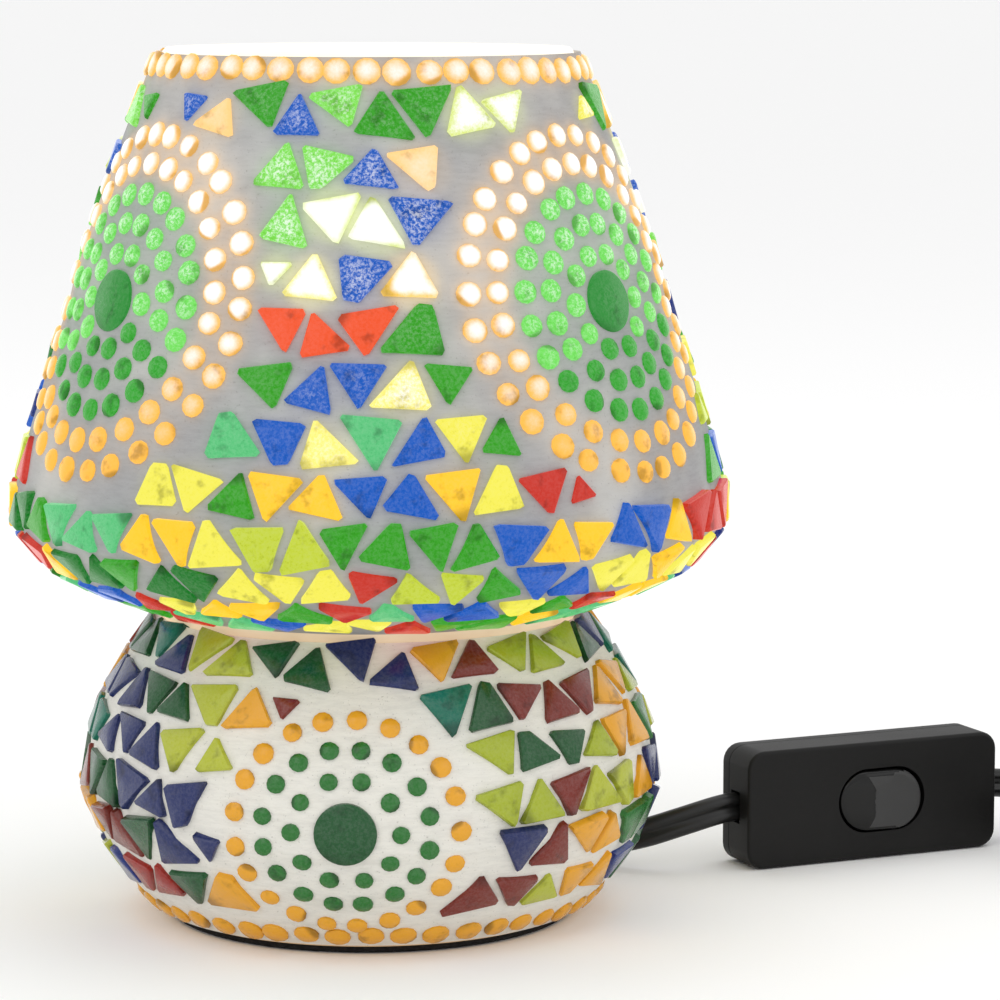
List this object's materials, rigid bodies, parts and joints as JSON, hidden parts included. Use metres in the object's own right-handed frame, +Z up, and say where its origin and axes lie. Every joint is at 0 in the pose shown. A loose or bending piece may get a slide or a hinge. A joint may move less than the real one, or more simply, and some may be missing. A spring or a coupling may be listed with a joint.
{
  "type": "mosaic glass table lamp",
  "caption": "Small table lamp with a tapered mosaic glass shade and round mosaic base in one blown body, E14 holder inside, flat cord with inline rocker switch and two-pin plug.",
  "frame": {"origin": "centre of the foot, on the table", "axes": "+Z up along the lamp's axis, -Y to the front, +X to the right, where the cord runs"},
  "size_m": [0.3233, 0.1975, 0.1814],
  "materials": {
    "clear_glass": "clear blown glass",
    "shade_mosaic": "pale grout with coloured glass pieces, lit from inside",
    "base_mosaic": "off-white grout with dark coloured glass pieces",
    "green_glass": "flat stained glass",
    "felt": "black felt",
    "steel": "zinc-plated",
    "brass": "plain",
    "nickel": "nickel-plated",
    "holder_plastic": "moulded phenolic",
    "ceramic": "glazed",
    "opal_glass": "frosted, warm white, lit",
    "cord_pvc": "semi-gloss PVC",
    "soft_rubber": "matte",
    "plug_plastic": "moulded PVC",
    "switch_plastic": "fine texture",
    "rocker_plastic": "smooth"
  },
  "bodies": {
    "root": {"glass_body": "clear_glass", "mosaic_skin_shade": "shade_mosaic", "mosaic_skin_base": "base_mosaic", "shade_medallion_disc_1": "green_glass", "shade_medallion_disc_2": "green_glass", "shade_medallion_disc_3": "green_glass", "base_medallion_disc_1": "green_glass", "base_medallion_disc_2": "green_glass", "base_medallion_disc_3": "green_glass", "foot_pad": "felt", "holder_plate": "steel", "spring_clip_1": "steel", "spring_clip_2": "steel", "spring_clip_3": "steel", "clip_rivet_1": "steel", "clip_rivet_2": "steel", "clip_rivet_3": "steel", "threaded_nipple": "brass", "lock_nut": "steel", "holder_cap": "holder_plastic", "terminal_block": "ceramic", "terminal_screw_1": "brass", "terminal_screw_2": "brass", "centre_contact": "brass", "thread_shell": "brass", "holder_liner": "holder_plastic", "holder_skirt": "holder_plastic", "inner_cord": "cord_pvc", "cord_grommet": "soft_rubber", "cord_lead": "cord_pvc", "cord_tail": "cord_pvc", "cord_coil": "cord_pvc", "cord_end": "cord_pvc", "coil_tie": "soft_rubber", "plug_strain_relief": "cord_pvc", "plug_body": "plug_plastic", "plug_pin_1": "nickel", "plug_pin_2": "nickel", "switch_front_shell": "switch_plastic", "switch_back_cover": "switch_plastic", "rocker_pin": "steel", "switch_screw_1": "steel", "switch_screw_2": "steel", "switch_terminal_1": "brass", "switch_terminal_2": "brass", "contact_strip": "brass"},
    "bulb_carriage": {"bulb_contact": "nickel"},
    "bulb": {"bulb_glass": "opal_glass", "bulb_screw_cap": "nickel", "bulb_insulator": "holder_plastic", "bulb_stem": "clear_glass"},
    "rocker": {"switch_rocker": "rocker_plastic"}
  },
  "joints": [
    {"name": "bulb_lift", "type": "slide", "parent": "root", "child": "bulb_carriage", "axis": [0, 0, 1], "range_m": [0, 0.01128]},
    {"name": "bulb_turn", "type": "hinge", "parent": "bulb_carriage", "child": "bulb", "pos_m": [0, 0, 0.1], "axis": [0, 0, 1], "range_deg": [0, 1440]},
    {"name": "rocker_press", "type": "hinge", "parent": "root", "child": "rocker", "pos_m": [0.1125, 0.04505, 0.0132], "axis": [0, 0, 1], "range_deg": [0, 16]}
  ],
  "couplings": [
    {"joint": "bulb_turn", "follows": "bulb_lift", "rad_per_m": 2228.1}
  ]
}
